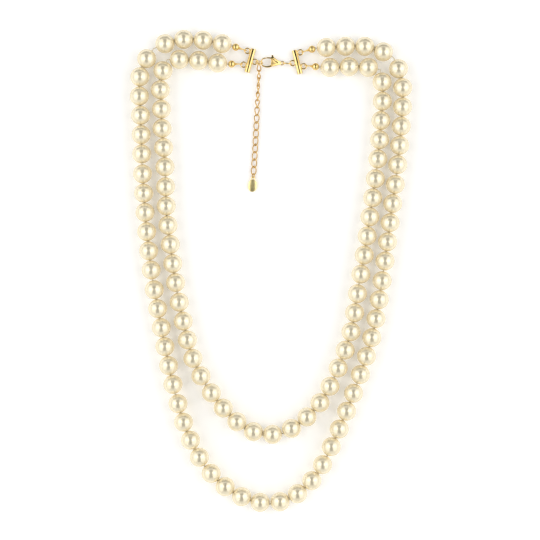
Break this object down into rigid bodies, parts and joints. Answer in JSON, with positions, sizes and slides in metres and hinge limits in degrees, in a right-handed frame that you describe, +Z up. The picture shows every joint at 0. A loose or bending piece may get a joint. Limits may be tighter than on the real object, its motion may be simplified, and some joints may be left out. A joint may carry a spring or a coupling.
{
  "type": "two-strand pearl necklace",
  "caption": "Pearl necklace with an outer and an inner strand, laid flat and joined at the nape by gold bars, a lobster clasp and an extender chain ending in a plain tag.",
  "frame": {"origin": "centre of the bounding box on the surface that the necklace lies on", "axes": "+Y from the lowest pearls towards the clasp, +X to the right seen from above, +Z up off the surface"},
  "size_m": [0.1179, 0.2013, 0.008],
  "materials": {
    "pearl": "cream nacre coat, glossy",
    "thread": "cream beading thread",
    "bright_gold": "polished gold plate",
    "chain_gold": "polished gold plate, slightly redder",
    "tag_gold": "pale gold plate, soft lengthwise brushing",
    "spring_steel": "plain wire"
  },
  "bodies": {
    "strand_ends": {"pearls_outer_01": "pearl", "pearls_outer_02": "pearl", "pearls_outer_11": "pearl", "pearls_outer_12": "pearl", "pearls_inner_01": "pearl", "pearls_inner_02": "pearl", "pearls_inner_09": "pearl", "pearls_inner_10": "pearl", "thread_outer": "thread", "thread_inner": "thread", "bead_tip_outer_left": "bright_gold", "bead_tip_inner_left": "bright_gold", "bead_tip_outer_right": "bright_gold", "bead_tip_inner_right": "bright_gold"},
    "outer_upper": {"pearls_outer_03": "pearl", "pearls_outer_10": "pearl"},
    "outer_middle": {"pearls_outer_04": "pearl", "pearls_outer_09": "pearl"},
    "outer_bottom": {"pearls_outer_05": "pearl", "pearls_outer_06": "pearl", "pearls_outer_07": "pearl", "pearls_outer_08": "pearl"},
    "inner_upper": {"pearls_inner_03": "pearl", "pearls_inner_08": "pearl"},
    "inner_middle": {"pearls_inner_04": "pearl", "pearls_inner_07": "pearl"},
    "inner_bottom": {"pearls_inner_05": "pearl", "pearls_inner_06": "pearl"},
    "bar_left": {"bar_left": "bright_gold"},
    "bar_right": {"bar_right": "bright_gold"},
    "jump_ring": {"jump_ring_left": "bright_gold"},
    "clasp_link": {"clasp_link": "bright_gold"},
    "clasp": {"clasp_body": "bright_gold", "clasp_pin": "bright_gold", "clasp_spring": "spring_steel"},
    "trigger": {"clasp_trigger": "bright_gold"},
    "chain_link_01": {"chain_link_01": "chain_gold"},
    "chain_link_02": {"chain_link_02": "chain_gold"},
    "chain_link_03": {"chain_link_03": "chain_gold"},
    "chain_link_04": {"chain_link_04": "chain_gold"},
    "chain_link_05": {"chain_link_05": "chain_gold"},
    "chain_link_06": {"chain_link_06": "chain_gold"},
    "chain_link_07": {"chain_link_07": "chain_gold"},
    "chain_link_08": {"chain_link_08": "chain_gold"},
    "chain_link_09": {"chain_link_09": "chain_gold"},
    "chain_link_10": {"chain_link_10": "chain_gold"},
    "chain_link_11": {"chain_link_11": "chain_gold"},
    "chain_link_12": {"chain_link_12": "chain_gold"},
    "chain_link_13": {"chain_link_13": "chain_gold"},
    "chain_link_14": {"chain_link_14": "chain_gold"},
    "chain_link_15": {"chain_link_15": "chain_gold"},
    "tag_ring": {"tag_ring": "chain_gold"},
    "tag": {"tag": "tag_gold"}
  },
  "joints": [
    {"name": "fold_outer_1", "type": "hinge", "parent": "strand_ends", "child": "outer_upper", "pos_m": [-0.00079, 0.04237, 0.004], "axis": [-0.9991, 0.0416, 0], "range_deg": [0, 24], "deforming": ["thread_outer"]},
    {"name": "fold_outer_2", "type": "hinge", "parent": "outer_upper", "child": "outer_middle", "pos_m": [-0.00128, -0.00185, 0.004], "axis": [-0.9992, -0.0391, 0], "range_deg": [0, 24], "deforming": ["thread_outer"]},
    {"name": "fold_outer_3", "type": "hinge", "parent": "outer_middle", "child": "outer_bottom", "pos_m": [-0.00209, -0.0492, 0.004], "axis": [-0.9984, -0.0559, 0], "range_deg": [0, 24], "deforming": ["thread_outer"]},
    {"name": "fold_inner_1", "type": "hinge", "parent": "strand_ends", "child": "inner_upper", "pos_m": [-0.00004, 0.04088, 0.004], "axis": [-0.9993, -0.0374, 0], "range_deg": [0, 24], "deforming": ["thread_inner"]},
    {"name": "fold_inner_2", "type": "hinge", "parent": "inner_upper", "child": "inner_middle", "pos_m": [-0.00129, -0.00717, 0.004], "axis": [-0.9989, -0.0469, 0], "range_deg": [0, 24], "deforming": ["thread_inner"]},
    {"name": "fold_inner_3", "type": "hinge", "parent": "inner_middle", "child": "inner_bottom", "pos_m": [-0.0005, -0.04584, 0.004], "axis": [-0.9984, -0.0572, 0], "range_deg": [0, 24], "deforming": ["thread_inner"]},
    {"name": "bar_left_flip", "type": "hinge", "parent": "strand_ends", "child": "bar_left", "pos_m": [-0.01217, 0.08903, 0.0015], "axis": [-0.2656, -0.9641, 0], "range_deg": [-1, 3]},
    {"name": "bar_right_flip", "type": "hinge", "parent": "strand_ends", "child": "bar_right", "pos_m": [0.01429, 0.08836, 0.0015], "axis": [-0.247, 0.969, 0], "range_deg": [-1.5, 0.5]},
    {"name": "jump_ring_swing", "type": "hinge", "parent": "bar_left", "child": "jump_ring", "pos_m": [-0.00581, 0.08728, 0.0015], "axis": [0.2656, 0.9641, 0], "range_deg": [-2, 2]},
    {"name": "clasp_link_swing", "type": "hinge", "parent": "bar_right", "child": "clasp_link", "pos_m": [0.0079, 0.08673, 0.0015], "axis": [0.247, -0.969, 0], "range_deg": [-0.5, 1]},
    {"name": "clasp_swing", "type": "hinge", "parent": "clasp_link", "child": "clasp", "pos_m": [0.00539, 0.08703, 0.0015], "axis": [0, 0, 1], "range_deg": [0, 3]},
    {"name": "clasp_trigger_pull", "type": "hinge", "parent": "clasp", "child": "trigger", "pos_m": [0.00134, 0.08813, 0.0015], "axis": [0, 0, 1], "range_deg": [0, 20], "stiffness_Nm_per_rad": 0.0008, "springref_deg": -12},
    {"name": "link_swing_01", "type": "hinge", "parent": "jump_ring", "child": "chain_link_01", "pos_m": [-0.0051, 0.08654, 0.0028], "axis": [0.9877, -0.1564, 0], "range_deg": [-14, 14]},
    {"name": "link_swing_02", "type": "hinge", "parent": "chain_link_01", "child": "chain_link_02", "pos_m": [-0.0051, 0.08379, 0.00215], "axis": [-0.0004, -0.2245, 0.9745], "range_deg": [-14, 14]},
    {"name": "link_swing_03", "type": "hinge", "parent": "chain_link_02", "child": "chain_link_03", "pos_m": [-0.00519, 0.08074, 0.00163], "axis": [-0.9982, 0.0607, 0], "range_deg": [-14, 14]},
    {"name": "link_swing_04", "type": "hinge", "parent": "chain_link_03", "child": "chain_link_04", "pos_m": [-0.00538, 0.07766, 0.00142], "axis": [0.0017, 0.0296, -0.9996], "range_deg": [-14, 14]},
    {"name": "link_swing_05", "type": "hinge", "parent": "chain_link_04", "child": "chain_link_05", "pos_m": [-0.00555, 0.07457, 0.00136], "axis": [0.9984, -0.0562, 0], "range_deg": [-14, 14]},
    {"name": "link_swing_06", "type": "hinge", "parent": "chain_link_05", "child": "chain_link_06", "pos_m": [-0.00572, 0.07147, 0.00133], "axis": [-0.001, -0.0183, 0.9998], "range_deg": [-14, 14]},
    {"name": "link_swing_07", "type": "hinge", "parent": "chain_link_06", "child": "chain_link_07", "pos_m": [-0.00587, 0.06838, 0.00121], "axis": [-0.9991, 0.0434, 0], "range_deg": [-14, 14]},
    {"name": "link_swing_08", "type": "hinge", "parent": "chain_link_07", "child": "chain_link_08", "pos_m": [-0.006, 0.06528, 0.00103], "axis": [0.0025, 0.0617, -0.9981], "range_deg": [-14, 14]},
    {"name": "link_swing_09", "type": "hinge", "parent": "chain_link_08", "child": "chain_link_09", "pos_m": [-0.00614, 0.06219, 0.00088], "axis": [0.9988, -0.0483, 0], "range_deg": [-14, 14]},
    {"name": "link_swing_10", "type": "hinge", "parent": "chain_link_09", "child": "chain_link_10", "pos_m": [-0.0063, 0.0591, 0.00079], "axis": [-0.0011, -0.0219, 0.9998], "range_deg": [-14, 14]},
    {"name": "link_swing_11", "type": "hinge", "parent": "chain_link_10", "child": "chain_link_11", "pos_m": [-0.00646, 0.056, 0.00073], "axis": [-0.9985, 0.0548, 0], "range_deg": [-14, 14]},
    {"name": "link_swing_12", "type": "hinge", "parent": "chain_link_11", "child": "chain_link_12", "pos_m": [-0.00664, 0.05291, 0.0007], "axis": [0.0005, 0.0078, -1], "range_deg": [-14, 14]},
    {"name": "link_swing_13", "type": "hinge", "parent": "chain_link_12", "child": "chain_link_13", "pos_m": [-0.00682, 0.04981, 0.00069], "axis": [0.9981, -0.0609, 0], "range_deg": [-14, 14]},
    {"name": "link_swing_14", "type": "hinge", "parent": "chain_link_13", "child": "chain_link_14", "pos_m": [-0.00702, 0.04672, 0.00069], "axis": [0.0002, 0.0031, 1], "range_deg": [-14, 14]},
    {"name": "link_swing_15", "type": "hinge", "parent": "chain_link_14", "child": "chain_link_15", "pos_m": [-0.00723, 0.04363, 0.0007], "axis": [-0.9974, 0.0727, 0], "range_deg": [-14, 14]},
    {"name": "tag_ring_swing", "type": "hinge", "parent": "chain_link_15", "child": "tag_ring", "pos_m": [-0.00748, 0.04024, 0.0007], "axis": [0.9971, -0.0762, 0], "range_deg": [-10, 6]},
    {"name": "tag_swing", "type": "hinge", "parent": "tag_ring", "child": "tag", "pos_m": [-0.00758, 0.03904, 0.0009], "axis": [0.9971, -0.0762, 0], "range_deg": [-6, 12]}
  ]
}
